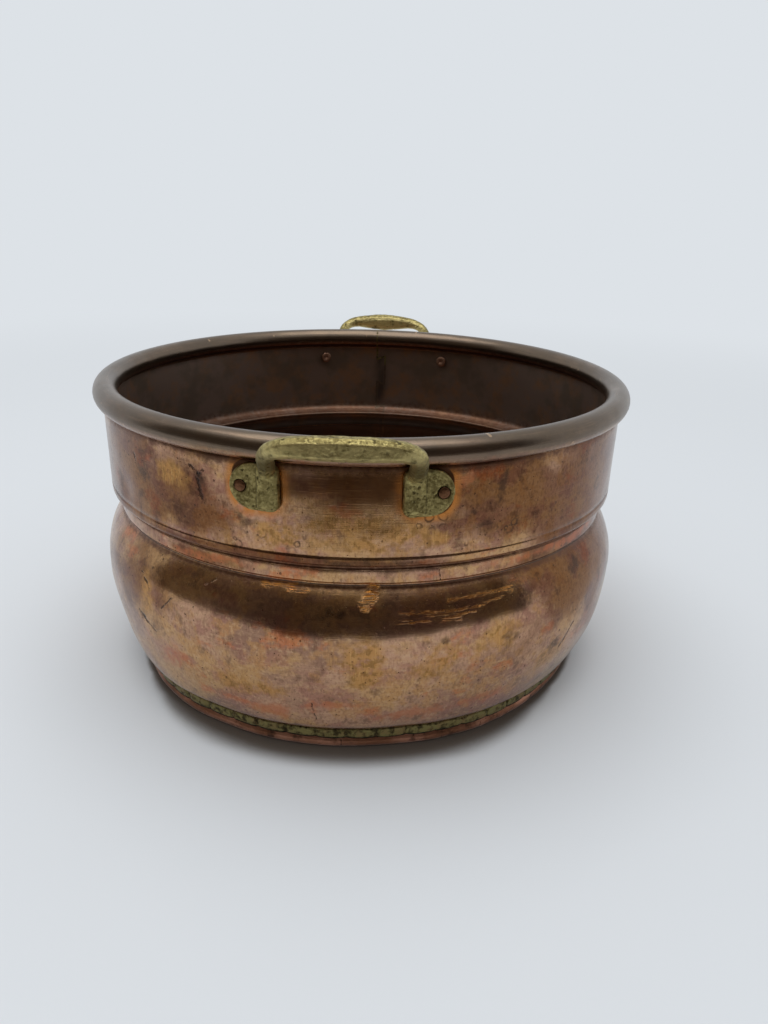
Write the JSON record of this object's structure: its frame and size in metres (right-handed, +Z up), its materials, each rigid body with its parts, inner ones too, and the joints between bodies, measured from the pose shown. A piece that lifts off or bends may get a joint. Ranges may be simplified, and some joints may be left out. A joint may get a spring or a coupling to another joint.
{
  "type": "mixing bowl",
  "caption": "Deep waisted copper mixing bowl with a wired rolled rim, brazed seams, a flat base and riveted cast brass lifting handles.",
  "frame": {"origin": "on the bowl's axis, at the flat underside of the base", "axes": "+Z up out of the bowl's mouth; +Y runs from the front handle to the back handle; +X to the right seen from the front handle"},
  "size_m": [0.3, 0.3467, 0.1726],
  "materials": {
    "wall_copper": "worn polished copper with golden and brown tarnish",
    "base_copper": "dull reddish copper",
    "rivet_copper": "dull hammered copper",
    "handle_brass": "pitted cast brass, olive tarnish, rubbed bright on the grip",
    "seam_brass": "rough brazing brass, dark olive",
    "wire_iron": "plain drawn iron"
  },
  "bodies": {
    "root": {"wall": "wall_copper", "rim_wire": "wire_iron", "base_pan": "base_copper", "base_brazing": "seam_brass", "side_seam_brazing": "seam_brass", "handle_front": "handle_brass", "handle_back": "handle_brass", "rivet_front_left": "rivet_copper", "rivet_front_right": "rivet_copper", "rivet_back_left": "rivet_copper", "rivet_back_right": "rivet_copper"}
  },
  "joints": []
}
